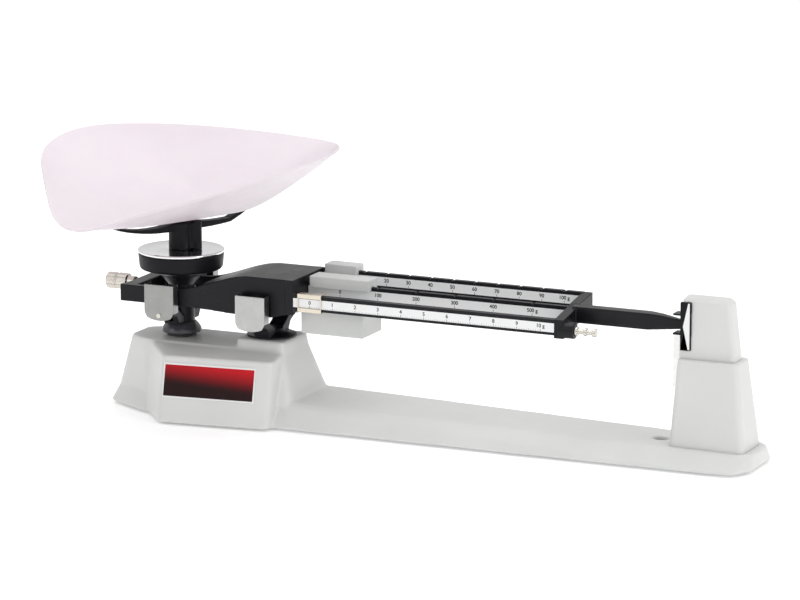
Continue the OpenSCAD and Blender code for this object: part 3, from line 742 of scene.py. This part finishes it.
def seat():
    """Deep round cup with a polished plate let into its top."""
    low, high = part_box("seat_cup")
    plate_low, plate_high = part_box("seat_plate")
    centre = centre_of("seat_cup")
    outer, top, bottom = (high.x - low.x) / 2 / MM, high.z / MM, low.z / MM
    recess = 6.0
    outline = [(0, bottom), (15.5, bottom), (22, bottom + 2.0), (27.6, bottom + 4.0),
               (outer - 0.8, bottom + 5.4), (outer, top - 0.8), (outer - 1.0, top),
               (recess, top), (recess, top - 7.2), (0, top - 7.2)]
    bm = turned(rounded(outline, 1.2), (centre.x, centre.y, 0), steps=160)
    place("seat_cup_turned", mesh_from(bm, "seat_cup_turned"), "seat_cup")
    rim, face, floor = (plate_high.x - plate_low.x) / 2 / MM, plate_high.z / MM, plate_low.z / MM
    disc = [(recess, floor + 0.2), (recess, floor), (rim, floor), (rim, face - 0.5),
            (rim - 0.5, face), (recess + 0.4, face), (recess, face - 0.4), (recess, floor + 0.2)]
    bm = turned(rounded(disc, 0.35)[:-1], (centre.x, centre.y, 0), ring=True, steps=160)
    place("seat_plate_turned", mesh_from(bm, "seat_plate_turned"), "seat_plate", POLISHED)


seat()
cast("scoop_support", 0.42, 7)


# ---------- scoop ----------

# The same shape as scoop() in part.scad, with a finer mesh.
SCOOP_TURN = math.radians(63)
SCOOP_LENGTH = 219.0
SCOOP_BACK = SCOOP_LENGTH * 0.583
SCOOP_MIDDLE = SCOOP_BACK - SCOOP_LENGTH / 2
SCOOP_WIDTH = 107.0
SCOOP_WALL = 1.6
SCOOP_POWER = 1.6
LIP_RIM, FULL_RIM, TAIL_RIM = 3.2, 48.0, 38.1
KEEL_FROM = 37.3
TAPER, BELLY = 0.375, 0.124     # how the width shrinks towards the tail
LIP_NARROWING = 0.32            # how much narrower the last quarter gets towards the lip
LIP_RISE, KEEL_FALL, TAIL_RISE = 2.4, 3, 1.12   # powers of the rim's and the keel's curves
END = 0.9995                    # stops just short of the tips, where the width is zero


def ease(t):
    """0 to 1 with a soft start and end."""
    t = min(1.0, max(0.0, t))
    return t * t * (3 - 2 * t)


def scoop_point(q, v):
    """A point of the scoop's underside.

    q runs from -1 at the lip to 1 at the tail, v from edge to edge."""
    s = SCOOP_MIDDLE + SCOOP_LENGTH / 2 * q
    half = math.sqrt(max(0.0, 1 - q * q)) * SCOOP_WIDTH * (1 - TAPER * q - BELLY * q * q)
    half *= 1 - LIP_NARROWING * ease((-q - 0.5) / 0.5)
    if q > 0:
        rim = FULL_RIM - (FULL_RIM - TAIL_RIM) * q * q
    else:
        rim = FULL_RIM - (FULL_RIM - LIP_RIM) * (-q) ** LIP_RISE
    if q < 0:
        keel = LIP_RIM * (-q) ** KEEL_FALL
    else:
        back = max(0.0, (s - KEEL_FROM) / (SCOOP_BACK - KEEL_FROM))
        keel = TAIL_RIM * back ** TAIL_RISE
    return Vector((s, v * half, keel + (rim - keel) * abs(v) ** SCOOP_POWER))


def scoop():
    """The bowl: a sheet along its underside, thickened inwards, with a round lip."""
    low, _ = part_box("scoop")
    where = Vector((centre_of("seat_plate").x * MM, 0, low.z))
    turn = Matrix.Translation(where) @ Matrix.Rotation(SCOOP_TURN, 4, "Z")
    rows, columns = 120, 96
    bm = bmesh.new()
    grid = []
    for i in range(rows + 1):
        q = -END * math.cos(math.pi * i / rows)
        line = []
        for j in range(columns + 1):
            even = 2 * j / columns - 1
            v = math.sin(math.pi / 2 * even) * 0.35 + even * 0.65    # closer rows at the rims
            line.append(bm.verts.new(turn @ (scoop_point(q, v) * MM)))
        grid.append(line)
    for i in range(rows):
        for j in range(columns):
            bm.faces.new([grid[i][j], grid[i + 1][j], grid[i + 1][j + 1], grid[i][j + 1]])
    bmesh.ops.recalc_face_normals(bm, faces=bm.faces)
    bm.normal_update()
    inward_up = sum(f.normal.z for f in bm.faces) > 0
    sheet = bpy.data.meshes.new("scoop_sheet")
    bm.to_mesh(sheet)
    bm.free()

    def thicken(holder):
        wall = holder.modifiers.new("wall", "SOLIDIFY")
        wall.thickness = SCOOP_WALL * MM
        wall.offset = 1.0 if inward_up else -1.0
        lip = holder.modifiers.new("lip", "BEVEL")
        lip.width = 0.55 * MM
        lip.segments = 4
        lip.limit_method = "ANGLE"
        lip.angle_limit = math.radians(55)

    mesh = applied(sheet, thicken)
    for polygon in mesh.polygons:
        polygon.use_smooth = True
    place("scoop_shell", mesh, "scoop")


scoop()


# ---------- carried CAD nodes ----------

for name, obj in CAD.items():
    obj.data.materials.clear()
    obj.data.materials.append(FINISHES[SLOT[name]].material)


# ---------- studio ----------

TARGET = Vector((93.75, 3.79, 87.7)) * MM
CAMERA_AZIMUTH = math.radians(24.5)
CAMERA_ELEVATION = math.radians(12.3)
CAMERA_DISTANCE = 3.0
CAMERA_LENS = 201.8
FLOOR_GLOW = 0.30       # keeps the paper floor as white as a lit backdrop
FILL = 0.70             # soft light from all round
HORIZON = 0.22          # dark flags at table height, seen only in reflections
HORIZON_TO = 0.24       # height on the sky where the flags end
SKY = FILL + 0.15       # light above the flags, seen only in reflections


def floor():
    """Pale paper with a faint mottle."""
    bm = bmesh.new()
    bmesh.ops.create_grid(bm, x_segments=1, y_segments=1, size=6.0)
    obj = linked("floor", mesh_from(bm, "floor", False))
    f = Finish("floor_paper")
    grain = f.noise(40, 3)
    tone = f.mix(f.span(grain, 0.3, 0.7), rgba([0.90] * 3), rgba([0.915] * 3))
    f.set(
        Base_Color=tone,
        Roughness=0.85,
        Specular_IOR_Level=0.1,
        Emission_Color=(1, 1, 1, 1),
        Emission_Strength=FLOOR_GLOW,
    )
    obj.data.materials.append(f.material)


def lamp(name, at, size, power):
    """A soft box that faces the balance. size is in metres and power in watts."""
    light = bpy.data.lights.new(name, "AREA")
    light.shape = "RECTANGLE"
    light.size, light.size_y = size
    light.energy = power
    obj = linked(name, light)
    obj.location = at
    obj.rotation_euler = (TARGET - Vector(at)).to_track_quat("-Z", "Y").to_euler()


def studio():
    """Floor, three soft boxes and an even sky that reflections see with a dark horizon."""
    floor()
    lamp("top", at=(-0.3, 0.5, 2.2), size=(2.6, 2.0), power=23)
    lamp("front", at=(-1.4, -2.2, 1.3), size=(1.6, 1.4), power=5)
    lamp("right", at=(2.4, -0.6, 0.9), size=(1.0, 1.2), power=12)
    world = bpy.data.worlds.new("studio")
    world.use_nodes = True
    tree = world.node_tree
    path = tree.nodes.new("ShaderNodeLightPath")

    def ranged(value, low, high, to_low, to_high):
        """value mapped to to_low..to_high, each a number or another output."""
        node = tree.nodes.new("ShaderNodeMapRange")
        tree.links.new(value, node.inputs["Value"])
        for socket, number in zip(("From Min", "From Max"), (low, high)):
            node.inputs[socket].default_value = number
        for socket, number in (("To Min", to_low), ("To Max", to_high)):
            if isinstance(number, float):
                node.inputs[socket].default_value = number
            else:
                tree.links.new(number, node.inputs[socket])
        return node.outputs["Result"]

    split = tree.nodes.new("ShaderNodeSeparateXYZ")
    tree.links.new(tree.nodes.new("ShaderNodeTexCoord").outputs["Generated"], split.inputs[0])
    flag = ranged(split.outputs["Z"], 0.0, HORIZON_TO, HORIZON, SKY)
    mirrored = ranged(path.outputs["Is Glossy Ray"], 0.0, 1.0, FILL, flag)
    strength = ranged(path.outputs["Is Camera Ray"], 0.0, 1.0, mirrored, 1.0)
    tree.links.new(strength, tree.nodes["Background"].inputs["Strength"])
    tree.nodes["Background"].inputs["Color"].default_value = (1.0, 1.0, 1.0, 1.0)
    bpy.context.scene.world = world
    bpy.context.scene.view_settings.view_transform = "Standard"


def camera():
    """The photo's view."""
    data = bpy.data.cameras.new("camera")
    data.lens = CAMERA_LENS
    data.sensor_width = 36.0
    data.clip_end = 50.0
    obj = linked("camera", data)
    flat = math.cos(CAMERA_ELEVATION)
    ray = Vector((
        flat * math.sin(CAMERA_AZIMUTH),
        -flat * math.cos(CAMERA_AZIMUTH),
        math.sin(CAMERA_ELEVATION),
    ))
    obj.location = TARGET + ray * CAMERA_DISTANCE
    obj.rotation_euler = (-ray).to_track_quat("-Z", "Y").to_euler()
    bpy.context.scene.camera = obj


studio()
camera()
